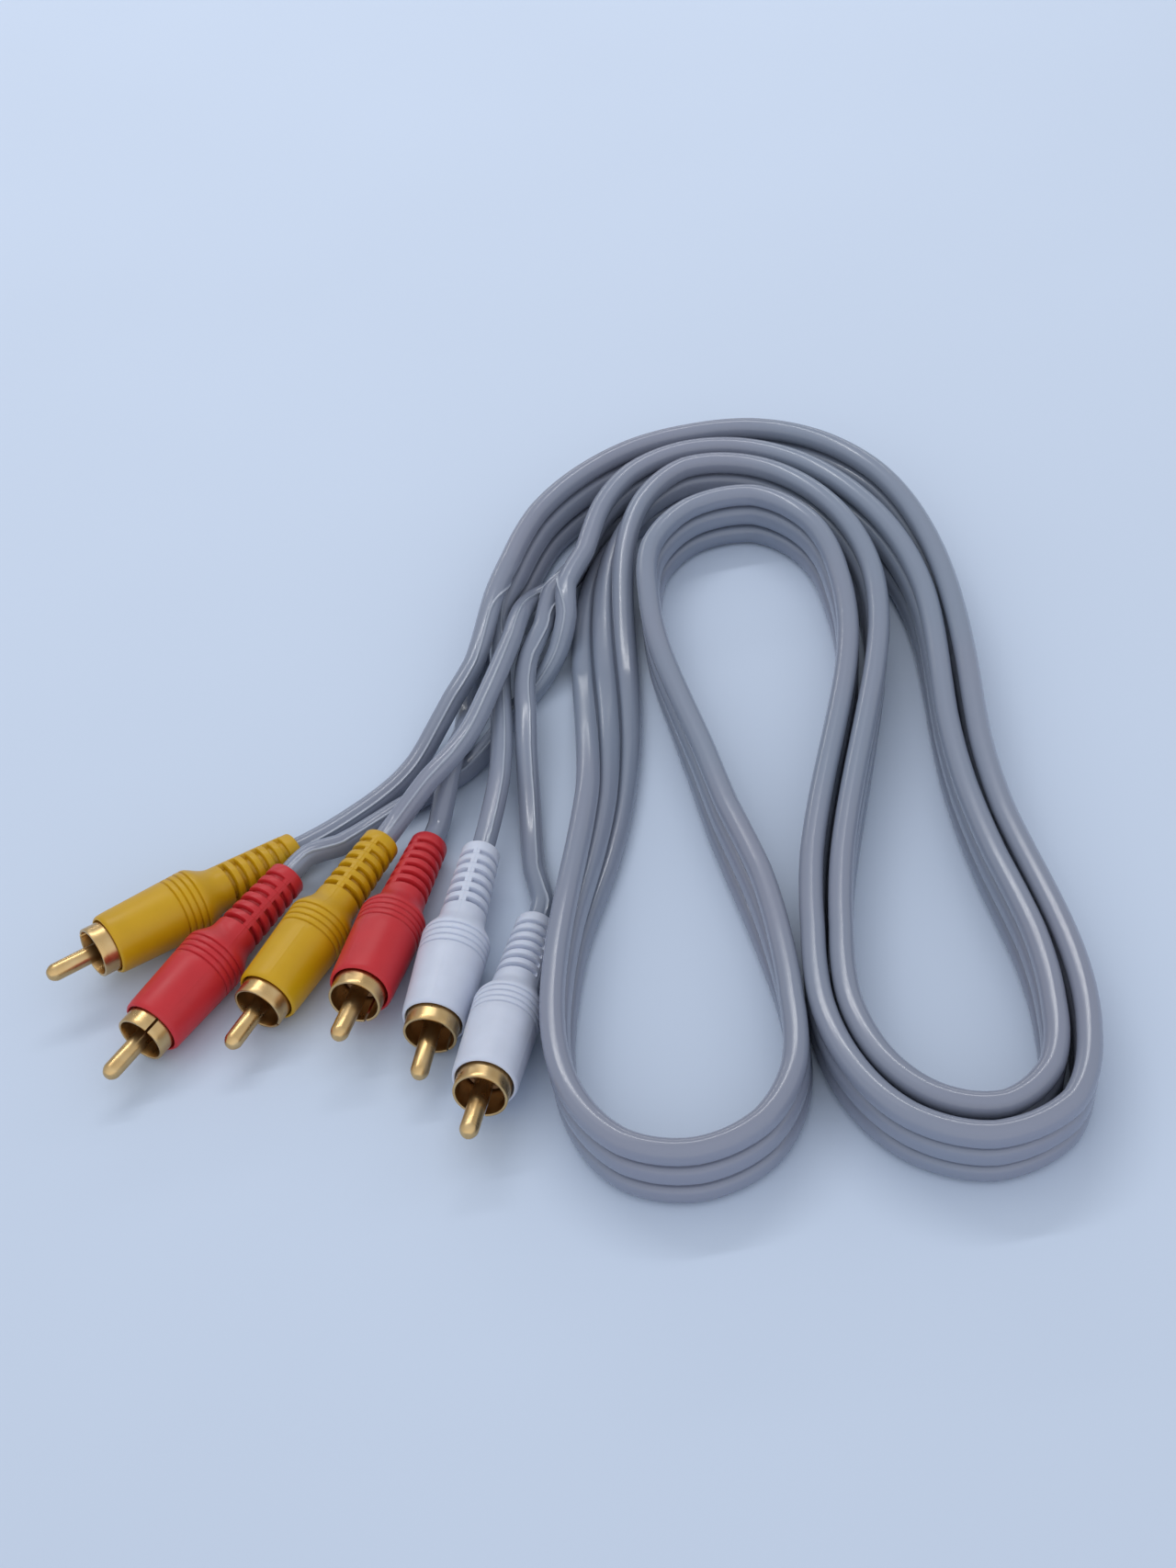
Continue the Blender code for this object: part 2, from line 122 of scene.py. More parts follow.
# The ribbon's middle core: x and y in mm, and how far, in degrees, the first core's side
# leans over from straight up
RIBBON = [
    (48.5, 84.0, 12),
    (55.3, 97.4, 14),
    (65.0, 107.2, 16),
    (77.0, 113.8, 14),
    (89.0, 115.5, 14),
    (102.0, 113.8, 15),
    (114.0, 106.2, 18),
    (123.7, 92.0, 16),
    (128.5, 73.0, 14),
    (129.5, 52.0, 12),
    (128.1, 30.0, 8),
    (125.9, 9.0, 4),
    (125.6, -10.0, 3),
    (127.3, -28.0, 3),
    (128.2, -45.0, 5),
    (126.3, -61.0, 6),
    (120.4, -73.8, 6),
    (107.5, -77.8, 2),
    (95.8, -71.6, 0),
    (89.0, -60.0, -2),
    (86.5, -46.0, -2),
    (88.2, -30.0, 0),
    (91.7, -12.0, 3),
    (97.8, 8.0, 0),
    (104.4, 27.0, -1),
    (108.8, 44.0, -4),
    (110.2, 62.0, -8),
    (108.0, 79.2, -9),
    (98.6, 91.0, -8),
    (85.6, 90.6, -4),
    (76.4, 81.0, -2),
    (73.6, 66.0, 0),
    (73.2, 51.0, 2),
    (74.6, 36.0, 4),
    (76.5, 20.0, 9),
    (78.1, 4.0, 12),
    (80.8, -14.0, 16),
    (82.0, -30.0, 8),
    (82.0, -44.0, 0),
    (80.0, -57.4, 0),
    (73.2, -67.6, -2),
    (62.0, -71.4, -4),
    (50.8, -67.2, -4),
    (44.4, -56.4, 0),
    (42.8, -43.0, 3),
    (44.9, -28.0, 7),
    (48.5, -14.0, 11),
    (53.6, 1.0, 26),
    (57.8, 16.0, 38),
    (60.6, 34.0, 62),
    (62.2, 52.0, 86),
    (64.2, 70.0, 110),
    (68.5, 86.6, 136),
    (75.9, 98.0, 162),
    (86.6, 104.4, 185),
    (98.0, 102.0, 192),
    (107.3, 93.7, 192),
    (114.0, 80.0, 192),
    (116.6, 63.0, 190),
    (114.5, 44.0, 187),
    (108.6, 24.0, 185),
    (102.2, 5.0, 182),
    (96.2, -14.0, 182),
    (92.7, -31.0, 182),
    (91.2, -46.0, 180),
    (94.4, -60.0, 178),
    (101.4, -69.2, 178),
    (110.6, -72.2, 177),
    (118.8, -66.6, 175),
    (122.4, -54.0, 174),
    (123.2, -38.0, 174),
    (121.5, -20.0, 176),
    (120.6, -2.0, 176),
    (121.4, 16.0, 175),
    (123.5, 34.0, 172),
    (124.9, 52.0, 169),
    (123.3, 69.0, 166),
    (118.4, 84.8, 164),
    (109.8, 99.0, 164),
    (98.4, 107.6, 164),
    (86.6, 109.8, 168),
    (75.4, 105.8, 177),
    (66.6, 96.4, 194),
    (60.8, 84.6, 208),
]

# The six single cords from the ribbon to their plugs: x, y and z of the centre in mm
TAILS = {
    "yellow_plug_a": [
        (43.3, 73.4, 11.0),
        (40.5, 64.4, 10.3),
        (37.4, 56.2, 9.0),
        (32.6, 49.5, 7.2),
        (28.0, 43.4, 4.6),
        (23.8, 37.8, 2.7),
        (18.6, 32.4, 2.1),
        (11.4, 26.8, 2.2),
    ],
    "white_plug_a": [
        (43.8, 73.0, 6.6),
        (43.0, 64.0, 6.4),
        (41.9, 53.0, 6.1),
        (41.3, 43.0, 6.6),
        (40.6, 35.0, 6.8),
        (39.2, 25.0, 6.8),
    ],
    "red_plug_a": [
        (42.4, 73.0, 2.1),
        (38.6, 65.0, 2.1),
        (35.6, 57.8, 2.1),
        (34.5, 50.4, 2.1),
        (33.4, 42.0, 4.0),
        (31.4, 34.0, 6.7),
        (29.6, 27.8, 6.2),
    ],
    "yellow_plug_b": [
        (50.8, 78.4, 4.4),
        (47.8, 69.6, 8.3),
        (45.5, 60.8, 9.9),
        (42.2, 51.0, 10.9),
        (38.9, 42.6, 11.3),
        (35.2, 34.4, 11.4),
        (31.0, 28.4, 11.2),
        (26.6, 24.4, 10.3),
    ],
    "white_plug_b": [
        (55.0, 77.0, 6.5),
        (51.9, 67.0, 6.4),
        (48.2, 58.0, 7.0),
        (46.6, 50.0, 7.2),
        (46.0, 42.0, 7.0),
        (45.0, 33.0, 5.6),
        (44.2, 23.0, 3.4),
        (43.4, 13.0, 2.1),
        (43.1, 4.0, 2.2),
    ],
    "red_plug_b": [
        (57.9, 74.6, 9.8),
        (56.8, 66.6, 8.2),
        (53.7, 60.0, 4.7),
        (48.9, 54.0, 2.5),
        (43.2, 47.4, 2.1),
        (38.0, 39.6, 2.1),
        (32.4, 33.6, 2.1),
        (25.6, 29.6, 2.1),
        (19.0, 26.0, 2.1),
        (12.9, 21.6, 2.7),
        (8.0, 17.4, 4.2),
    ],
}

# Each cord: the plug at either end, its place across the ribbon, and the sides of it,
# 1 for the first core's side, that carry a web
CORDS = {
    "video_cord": dict(
        start="yellow_plug_a", finish="yellow_plug_b", place=1, webs=(-1,)
    ),
    "left_audio_cord": dict(
        start="white_plug_a", finish="white_plug_b", place=0, webs=(1, -1)
    ),
    "right_audio_cord": dict(
        start="red_plug_a", finish="red_plug_b", place=-1, webs=(1,)
    ),
}

# Colours, linear
YELLOW = (0.55, 0.315, 0.003)
RED = (0.515, 0.021, 0.029)
WHITE = (0.555, 0.598, 0.718)
CORD_GREY = (0.207, 0.246, 0.325)
CORD_GREY_WARM = (0.220, 0.240, 0.316)
# Painted highlight along the torn web's rib, paler than the cord
TORN_RIB_HIGHLIGHT = (0.36, 0.40, 0.48)
GOLD = (0.60, 0.405, 0.185)
GOLD_WORN = (0.64, 0.465, 0.24)
DARK_BROWN = (0.26, 0.155, 0.085)
TABLE = (0.555, 0.640, 0.785)


def plug_frame(plug):
    """Where a plug lies: its shoulder on the table, its axis at the heading and pitch."""
    heading = math.radians(plug["heading"])
    pitch = math.radians(plug["pitch"])
    ahead = Vector(
        (
            math.cos(pitch) * math.cos(heading),
            math.cos(pitch) * math.sin(heading),
            math.sin(pitch),
        )
    )
    left = Vector((-math.sin(heading), math.cos(heading), 0.0))
    over = ahead.cross(left)
    behind_shoulder = HOUSING_LENGTH - SHOULDER_AT
    height = SHOULDER_RADIUS * math.cos(pitch) - behind_shoulder * math.sin(pitch)
    x, y = plug["end"]
    end = Vector((x * MM, y * MM, height)) + LAYOUT_SHIFT
    return end + ahead * HOUSING_LENGTH, end, ahead, left, over


def plug_matrix(plug, turn):
    """Turns a piece's Z onto the axis and its X to the clock angle seen from the tip."""
    front, _, ahead, left, over = plug_frame(plug)
    turn = math.radians(turn)
    across = over * math.cos(turn) + left * math.sin(turn)
    third = ahead.cross(across)
    turned = Matrix((across, third, ahead)).transposed().to_4x4()
    return Matrix.Translation(front) @ turned


def smooth_curve(points, counts):
    """A line through all points, with counts[i] steps on stretch i. Each stretch runs on
    the cubic through its four nearest points, whose knots are spaced by root distance."""
    ends = [2 * points[0] - points[1]] + points + [2 * points[-1] - points[-2]]
    line = []
    for i, count in enumerate(counts):
        p = ends[i : i + 4]
        knots = [0.0]
        for a, b in zip(p, p[1:]):
            knots.append(knots[-1] + (b - a).length ** 0.5)
        for step in range(count):
            at = knots[1] + (knots[2] - knots[1]) * step / count
            row, level = p, 1
            while len(row) > 1:
                row = [
                    row[k]
                    + (row[k + 1] - row[k])
                    * ((at - knots[k]) / (knots[k + level] - knots[k]))
                    for k in range(len(row) - 1)
                ]
                level += 1
            line.append(row[0])
    line.append(points[-1])
    return line


def ribbon_points(place):
    """The route's points of one core: the ribbon rests on its lowest core."""
    made = []
    for i, (x, y, lean) in enumerate(RIBBON):
        before = RIBBON[max(i - 1, 0)]
        after = RIBBON[min(i + 1, len(RIBBON) - 1)]
        way = Vector((after[0] - before[0], after[1] - before[1], 0.0)).normalized()
        left = Vector((-way.y, way.x, 0.0))
        lean = math.radians(lean)
        side = Vector((0.0, 0.0, math.cos(lean))) + left * math.sin(lean)
        height = CORD_RADIUS + CORD_PITCH * abs(math.cos(lean))
        middle = Vector((x * MM, y * MM, height)) + LAYOUT_SHIFT
        made.append(middle + side * (place * CORD_PITCH))
    return made


def tail_points(plug_name):
    """From the seat in the strain relief to where the cord joins the ribbon."""
    _, end, ahead, _, _ = plug_frame(PLUGS[plug_name])
    seated = [end + ahead * CORD_SEAT_DEPTH, end - ahead * CORD_LEAD_OUT]
    free = [Vector(p) * MM + LAYOUT_SHIFT for p in TAILS[plug_name]]
    return seated + free[::-1]


def cord_line(cord):
    """The cord's centre from plug to plug, and where on it the ribbon starts and ends."""
    first = tail_points(cord["start"])
    last = tail_points(cord["finish"])[::-1]
    points = first + ribbon_points(cord["place"]) + last
    middle = first + ribbon_points(0) + last
    counts = []
    for a, b in zip(middle, middle[1:]):
        counts.append(max(1, round((b - a).length / RING_SPACING)))
    begins = sum(counts[: len(first)])
    ends = begins + sum(counts[len(first) : len(first) + len(RIBBON) - 1])
    return smooth_curve(points, counts), begins, ends


def ease(x):
    """A smooth step from 0 to 1."""
    x = min(max(x, 0.0), 1.0)
    return x * x * (3 - 2 * x)


def mesh_object(name, points, faces):
    """A new mesh and its object, linked to the scene."""
    mesh = bpy.data.meshes.new(name)
    mesh.from_pydata(points, [], faces)
    mesh.update()
    made = bpy.data.objects.new(name, mesh)
    bpy.context.scene.collection.objects.link(made)
    return made


def shade(mesh, degrees=35):
    """Smooth shading, but flat across edges sharper than this."""
    mesh.shade_smooth()
    mesh.set_sharp_from_angle(angle=math.radians(degrees))


# Camera
def add_camera():
    data = bpy.data.cameras.new("Camera")
    data.sensor_width = CAMERA_SENSOR
    data.lens = CAMERA_LENS
    data.clip_start = 0.01
    data.clip_end = 50.0
    made = bpy.data.objects.new("Camera", data)
    bpy.context.scene.collection.objects.link(made)
    aim = (CAMERA_TO - CAMERA_AT).to_track_quat("-Z", "Y")
    roll = Matrix.Rotation(-CAMERA_ROLL, 4, "Z")
    made.matrix_world = Matrix.Translation(CAMERA_AT) @ aim.to_matrix().to_4x4() @ roll
    bpy.context.scene.camera = made


add_camera()


# Cords. Angles round a core are in degrees, from the middle of its web.
WEB_STEP = 2.5  # between a ring's points near a web
WEB_STEPS = 14  # such steps to either side of the web's middle
OPEN_STEP = 9.0  # between a ring's points away from the webs
OPEN_STEPS = 5
WEB_HALF = 8.0  # half the web's thickness
WEB_FOOT = 14.0  # where the web has run out into the core
WEB_OVERLAP = 0.01 * MM  # past the middle between two cores
WEB_REACH = CORD_PITCH / 2 + WEB_OVERLAP
CORE_POWER = 2.8  # 2 for a round core; more makes its web side squarer
CORE_SIDE = 90  # how far round from its web a core is squared
TORN_FOOT = 8.5  # half the torn web's thickness
TORN_POWER = 0.7
TORN_HEIGHT = 0.38 * MM
TORN_LEAST = 0.75  # share of that height the ragged edge varies about
TORN_SPREAD = 0.5
TORN_RAGGED = 2.5 * MM
TORN_CLEAR = 0.5 * MM  # bare cord between a strain relief and the torn web's end
TORN_FADE = 3 * MM
TAIL_SIDE = Vector((0.0, -0.74, 0.67))  # where a single cord's torn web faces, for web=0
TWIST_LENGTH = 20 * MM  # over which a single cord turns to that side
TEAR_LENGTH = 9 * MM  # over which the whole web gives way to the torn one
CORD_SHARP = 50  # degrees; sharper edges of a cord are shaded flat


def ring_angles():
    """Angles round a core, closer together at its two web sides."""
    angles = []
    for middle in (0.0, 180.0):
        angles += [middle + k * WEB_STEP for k in range(-WEB_STEPS, WEB_STEPS + 1)]
        angles += [middle + 90 + k * OPEN_STEP for k in range(-OPEN_STEPS, OPEN_STEPS + 1)]
    return [math.radians(a) for a in sorted(a % 360 for a in angles)]


def joined_radius(off):
    """A core's radius off degrees from its web, where it is part of the ribbon."""
    turn = math.radians(off)
    share = math.cos(turn) ** CORE_POWER + math.sin(turn) ** CORE_POWER
    core = CORD_RADIUS * share ** (-1 / CORE_POWER)
    if off >= WEB_FOOT:
        return core
    web = WEB_REACH / math.cos(turn)
    return core + (web - core) * (1 - ease((off - WEB_HALF) / (WEB_FOOT - WEB_HALF)))


def torn_height(off):
    """Height of a torn web's rib, off degrees from its middle."""
    return TORN_HEIGHT * max(0.0, 1 - off / TORN_FOOT) ** TORN_POWER


def torn_share(along, length, place):
    """How much of its full height the torn rib has, at a length along the cord."""
    rough = noise.noise(Vector((along / TORN_RAGGED, place, 0)))
    bare = min(along, length - along) - CORD_SEAT_DEPTH
    return (TORN_LEAST + TORN_SPREAD * rough) * ease((bare - TORN_CLEAR) / TORN_FADE)


def cord_frames(line, begins, ends, sides, cord):
    """Tangent and side vector of every ring. On the single cords the side is carried
    along, and turned so that the torn web comes to face the plug's own way."""
    count = len(line)
    ways = []
    for i in range(count):
        ways.append((line[min(i + 1, count - 1)] - line[max(i - 1, 0)]).normalized())
    turned = [None] * count
    for i in range(begins, ends + 1):
        side = sides[i - begins]
        turned[i] = (side - ways[i] * side.dot(ways[i])).normalized()
    for start, stop, step in ((begins, -1, -1), (ends, count, 1)):
        for i in range(start + step, stop, step):
            side = ways[i - step].rotation_difference(ways[i]) @ turned[i - step]
            turned[i] = (side - ways[i] * side.dot(ways[i])).normalized()
    twisted = list(turned)
    for plug, order in (
        (cord["start"], range(begins, -1, -1)),
        (cord["finish"], range(ends, count)),
    ):
        web = math.radians(PLUGS[plug]["web"])
        angle, gone = 0.0, 0.0
        for i in order:
            way, side = ways[i], turned[i]
            gone += (line[i] - line[min(i + 1, count - 1)]).length
            aim = (TAIL_SIDE - way * TAIL_SIDE.dot(way)).normalized()
            aim = Matrix.Rotation(web, 3, way) @ aim * cord["webs"][0]
            wanted = math.atan2(way.dot(side.cross(aim)), side.dot(aim))
            while wanted - angle > math.pi:
                wanted -= 2 * math.pi
            while angle - wanted > math.pi:
                wanted += 2 * math.pi
            angle = wanted
            twisted[i] = Matrix.Rotation(angle * ease(gone / TWIST_LENGTH), 3, way) @ side
    return ways, twisted


def cord_mesh(name, cord, line, begins, ends, sides):
    """A core with its webs as rings along the line; the attribute torn marks torn web,
    where a highlight is painted.
    """
    angles = ring_angles()
    ways, turned = cord_frames(line, begins, ends, sides, cord)
    travelled = [0.0]
    for a, b in zip(line, line[1:]):
        travelled.append(travelled[-1] + (b - a).length)
    points, torn = [], []
    for i, (centre, way, side) in enumerate(zip(line, ways, turned)):
        other = way.cross(side)
        outside = max(travelled[begins] - travelled[i], travelled[i] - travelled[ends], 0.0)
        joined = 1 - ease(outside / TEAR_LENGTH)
        ragged = torn_share(travelled[i], travelled[-1], cord["place"])
        for angle in angles:
            radius, highlight_mark = CORD_RADIUS, 0.0
            for web in cord["webs"]:
                off = abs(math.degrees(angle) - (0 if web > 0 else 180))
                off = min(off, 360 - off)
                if off < CORE_SIDE:
                    edge = torn_height(off) * (1 - joined)
                    radius += (joined_radius(off) - CORD_RADIUS) * joined + edge * ragged
                    # The torn rib's share of its height, also the mask of its painted
                    # highlight
                    highlight_mark = max(highlight_mark, edge / TORN_HEIGHT)
            ray = side * math.cos(angle) + other * math.sin(angle)
            points.append(centre + ray * radius)
            torn.append(highlight_mark)
    n = len(angles)
    faces = []
    for i in range(len(line) - 1):
        for k in range(n):
            a, b = i * n + k, i * n + (k + 1) % n
            faces.append((a, b, b + n, a + n))
    faces.append(tuple(range(n))[::-1])
    last = (len(line) - 1) * n
    faces.append(tuple(range(last, last + n)))
    made = mesh_object(name, points, faces)
    marks = made.data.attributes.new("torn", "FLOAT", "POINT")
    marks.data.foreach_set("value", torn)
    shade(made.data, CORD_SHARP)
    return made


lines = {name: cord_line(cord) for name, cord in CORDS.items()}
top, top_begins, top_ends = lines["video_cord"]
low, low_begins, _ = lines["right_audio_cord"]
ribbon_sides = [
    (top[top_begins + k] - low[low_begins + k]).normalized()
    for k in range(top_ends - top_begins + 1)
]
cords = {}
for cord_name, cord in CORDS.items():
    line, begins, ends = lines[cord_name]
    cords[cord_name] = cord_mesh(
        "Grey_" + cord_name, cord, line, begins, ends, ribbon_sides
    )


# Materials. Noise scales are per metre; bump distances and subsurface radii in metres.
NOISE_LOW = 0.3  # most of a noise's values lie between these two
NOISE_HIGH = 0.7


def new_material(name, colour, roughness, metallic=0.0):
    """The roughness given here holds where no noise is linked to it."""
    made = bpy.data.materials.new(name)
    made.use_nodes = True
    shader = made.node_tree.nodes["Principled BSDF"]
    shader.inputs["Base Color"].default_value = (*colour, 1.0)
    shader.inputs["Roughness"].default_value = roughness
    shader.inputs["Metallic"].default_value = metallic
    return made, made.node_tree, shader


def noise_node(tree, scale, detail=3.0):
    where = tree.nodes.new("ShaderNodeTexCoord")
    made = tree.nodes.new("ShaderNodeTexNoise")
    made.inputs["Scale"].default_value = scale
    made.inputs["Detail"].default_value = detail
    tree.links.new(where.outputs["Object"], made.inputs["Vector"])
    return made.outputs["Fac"]


def ramp_node(tree, source, low, high, colours):
    """Spreads the source's low to high over two colours."""
    made = tree.nodes.new("ShaderNodeValToRGB")
    made.color_ramp.elements[0].position = low
    made.color_ramp.elements[1].position = high
    for element, colour in zip(made.color_ramp.elements, colours):
        element.color = (*colour, 1.0)
    tree.links.new(source, made.inputs["Fac"])
    return made.outputs["Color"]


def range_node(tree, source, low, high):
    """Spreads a noise over the values from low to high."""
    made = tree.nodes.new("ShaderNodeMapRange")
    made.inputs["From Min"].default_value = NOISE_LOW
    made.inputs["From Max"].default_value = NOISE_HIGH
    made.inputs["To Min"].default_value = low
    made.inputs["To Max"].default_value = high
    tree.links.new(source, made.inputs["Value"])
    return made.outputs["Result"]


def add_bump(tree, shader, source, strength, distance):
    made = tree.nodes.new("ShaderNodeBump")
    made.inputs["Strength"].default_value = strength
    made.inputs["Distance"].default_value = distance
    tree.links.new(source, made.inputs["Height"])
    tree.links.new(made.outputs["Normal"], shader.inputs["Normal"])


def link_colour(tree, shader, source, low, high, colours):
    colour = ramp_node(tree, source, low, high, colours)
    tree.links.new(colour, shader.inputs["Base Color"])


def link_roughness(tree, shader, source, low, high):
    tree.links.new(range_node(tree, source, low, high), shader.inputs["Roughness"])


def moulding(name, colour):
    """Soft moulded PVC: even colour, a faint grain and a soft gloss."""
    made, tree, shader = new_material(name, colour, roughness=0.4)
    dull = tuple(c * 0.93 for c in colour)
    wide = noise_node(tree, scale=160.0)
    link_colour(tree, shader, wide, low=0.35, high=0.7, colours=(dull, colour))
    link_roughness(tree, shader, wide, low=0.34, high=0.46)
    grain = noise_node(tree, scale=2600.0, detail=2.0)
    add_bump(tree, shader, grain, strength=0.10, distance=0.00006)
    shader.inputs["Specular IOR Level"].default_value = 0.35
    shader.inputs["Subsurface Weight"].default_value = 0.06
    shader.inputs["Subsurface Radius"].default_value = (0.002, 0.0012, 0.0008)
    shader.inputs["Subsurface Scale"].default_value = 1.0
    return made


def cord_material():
    """Extruded PVC jacket, a little warmer in places, with a painted highlight along the
    torn web's rib.
    """
    made, tree, shader = new_material("Grey_cord_PVC", CORD_GREY, roughness=0.33)
    slow = noise_node(tree, scale=22.0, detail=2.0)
    grey = ramp_node(tree, slow, low=0.35, high=0.65, colours=(CORD_GREY, CORD_GREY_WARM))
    # Mixes a painted highlight into the colour along the torn web's rib
    torn = tree.nodes.new("ShaderNodeAttribute")
    torn.attribute_name = "torn"
    mix = tree.nodes.new("ShaderNodeMix")
    mix.data_type = "RGBA"
    mix.inputs["B"].default_value = (*TORN_RIB_HIGHLIGHT, 1.0)
    tree.links.new(torn.outputs["Fac"], mix.inputs["Factor"])
    tree.links.new(grey, mix.inputs["A"])
    tree.links.new(mix.outputs["Result"], shader.inputs["Base Color"])
    link_roughness(tree, shader, noise_node(tree, scale=900.0), low=0.17, high=0.205)
    waves = noise_node(tree, scale=500.0, detail=1.0)
    add_bump(tree, shader, waves, strength=0.03, distance=0.00004)
    return made


def gold_material():
    """Thin gold plate over turned metal: bright, with faint wear and turning marks."""
    made, tree, shader = new_material("Gold_plate", GOLD, roughness=0.3, metallic=1.0)
    worn = noise_node(tree, scale=420.0, detail=2.0)
    link_colour(tree, shader, worn, low=0.45, high=0.75, colours=(GOLD, GOLD_WORN))
    link_roughness(tree, shader, worn, low=0.26, high=0.34)
    marks = noise_node(tree, scale=3200.0, detail=2.0)
    add_bump(tree, shader, marks, strength=0.04, distance=0.00003)
    return made


def insulator_material():
    """Dull moulded plastic with paler spots."""
    made, tree, shader = new_material("Dark_insulator", DARK_BROWN, roughness=0.5)
    pale = tuple(c * 1.6 for c in DARK_BROWN)
    spots = noise_node(tree, scale=700.0)
    link_colour(tree, shader, spots, low=0.4, high=0.7, colours=(DARK_BROWN, pale))
    return made


mouldings = {
    "yellow": moulding("Yellow_moulding", YELLOW),
    "red": moulding("Red_moulding", RED),
    "white": moulding("White_moulding", WHITE),
}
gold = gold_material()
brown = insulator_material()
cord_grey = cord_material()

for cord_name, cord in CORDS.items():
    piece = cords[cord_name]
    piece.data.materials.append(cord_grey)
    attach(piece, "root")
    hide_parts(cord_name)


# Plugs
ROUND_STEPS = 96
ANGLE_LEAST = 0.4  # degrees; points of a ring closer than this are left out
PIN_STEPS = 48
INSULATOR_STEPS = 64
EDGE_STEPS = 5  # in a quarter round
SLOT_END = 2.5  # degrees over which a slot's end wall rises
SEAM_WIDTH = 1.3  # degrees, half the mould seam's
SEAM_HEIGHT = 0.035 * MM
HOUSING_SHARP = 40  # degrees; sharper edges of a housing are shaded flat

# Rings of the housing's body, as lengths behind its front
BODY_RINGS = (1.2 * MM, 3.0 * MM, 6.0 * MM, 9.0 * MM, 12.0 * MM)

# The mouth round the shell: length behind the front, radius past the shell's socket
MOUTH_RINGS = ((0.25 * MM, 0.0), (0.08 * MM, 0.04 * MM), (0.0, 0.14 * MM))

# Half a groove from its edge to its middle: shares of half its width and of its depth
GROOVE_SHAPE = ((1.25, 0.0), (0.85, 0.12), (0.4, 0.85))

# The shoulder's cone: its rings, how far its curve has turned where it starts, and the
# power that draws its waist forwards
CONE_RINGS = 12
CONE_START = 0.12
CONE_POWER = 0.9
CONE_OFFSET = 0.7 * GROOVE_WIDTH

# A slot's edge, from outside: lengths before the slot, the share of the slot's depth
# reached there, and how far the rim is lowered
SLOT_EDGE = (
    (0.286 * MM, 0.0, 0.0),
    (0.117 * MM, 0.0, 0.04 * MM),
    (0.0, 0.16, 0.06 * MM),
    (-0.0455 * MM, 0.9, 0.0),
    (-0.208 * MM, 1.0, 0.0),
)
RELIEF_LAST = 1.4 * MM  # from the strain relief's end to its last full ring
BORE_EDGE = 0.12 * MM

# The shell: its rounded rim, the rings behind the rim that keep its shading tight, and
# how far the slit's cutter stands out past the rim
SHELL_STEPS = 96
SHELL_EDGE = 0.16 * MM
SHELL_EDGE_CUT = 0.3 * SHELL_EDGE
SHELL_RING_OUTSIDE = 0.9 * MM
SHELL_RING_INSIDE = 2.6 * MM
SLIT_CLEAR = 1 * MM

# The pin's blunt tip: length behind the tip and radius
PIN_TIP = (
    (0.0, 0.35 * MM),
    (0.05 * MM, 0.62 * MM),
    (0.16 * MM, 0.84 * MM),
    (0.34 * MM, 1.04 * MM),
    (0.6 * MM, 1.24 * MM),
    (0.9 * MM, 1.42 * MM),
    (1.2 * MM, 1.54 * MM),
    (1.5 * MM, PIN_RADIUS),
)

# The pin's narrow groove: length ahead of the insulator's face, and depth
PIN_GROOVE = (
    (0.9 * MM, 0.0),
    (0.75 * MM, 0.1 * MM),
    (0.45 * MM, 0.1 * MM),
    (0.3 * MM, 0.0),
)

# The insulator's face: its cut edge, the dish in it and the low collar round the pin
INSULATOR_EDGE = 0.15 * MM
DISH_BORDER = 0.8 * MM
DISH_SLOPE = 0.15 * MM
DISH_DEPTH = 0.3 * MM
COLLAR_WIDTH = 0.2 * MM
COLLAR_DROP = 0.05 * MM


def lathe(name, rings, angles):
    """A closed solid from rings of radii: each ring is (z, radius or radius of angle)."""
    points, faces = [], []
    n = len(angles)
    for z, radius in rings:
        for angle in angles:
            r = radius(angle) if callable(radius) else radius
            points.append((r * math.cos(angle), r * math.sin(angle), z))
    for i in range(len(rings) - 1):
        for k in range(n):
            a, b = i * n + k, i * n + (k + 1) % n
            faces.append((a, a + n, b + n, b))
    for ring, flip in ((0, False), (len(rings) - 1, True)):
        centre = len(points)
        points.append((0.0, 0.0, rings[ring][0]))
        for k in range(n):
            a, b = ring * n + k, ring * n + (k + 1) % n
            faces.append((centre, b, a) if flip else (centre, a, b))
    return mesh_object(name, points, faces)


def round_angles():
    """Even angles, with more of them at the slots' ends and at the mould seam."""
    degrees = {k * 360 / ROUND_STEPS for k in range(ROUND_STEPS)}
    half = SLOT_WRAP / 2
    for side in (0, 180):
        for end in (-half, half):
            degrees |= {(side + end + d) % 360 for d in (-SLOT_END, 0.0, SLOT_END)}
    for line in (90, 270):
        degrees |= {(line + d) % 360 for d in (-SEAM_WIDTH, 0.0, SEAM_WIDTH)}
    tidy = []
    for d in sorted(degrees):
        if not tidy or d - tidy[-1] > ANGLE_LEAST:
            tidy.append(d)
    return [math.radians(d) for d in tidy]


def slot_share(angle):
    """1 inside a slot's wrap, 0 on the spine between the slots."""
    off = abs((math.degrees(angle) + 90) % 180 - 90)
    return 1 - ease((off - SLOT_WRAP / 2 + SLOT_END) / (2 * SLOT_END))


def seam(angle):
    """Height of the mould seam, which runs along both spines."""
    off = abs(math.degrees(angle) % 180 - 90)
    return SEAM_HEIGHT * max(0.0, 1 - off / SEAM_WIDTH)


def relief_radius(z):
    """The strain relief's outer radius from its root to its end edge."""
    root = -SHOULDER_AT - CONE_LENGTH
    end = -HOUSING_LENGTH + RELIEF_END_EDGE
    taper = RELIEF_END_RADIUS - RELIEF_ROOT_RADIUS
    return RELIEF_ROOT_RADIUS + taper * (z - root) / (end - root)


def quarter_round(first):
    """Turns of a quarter round's steps, in radians, from the first step on."""
    return [math.radians(90 * k / EDGE_STEPS) for k in range(first, EDGE_STEPS + 1)]


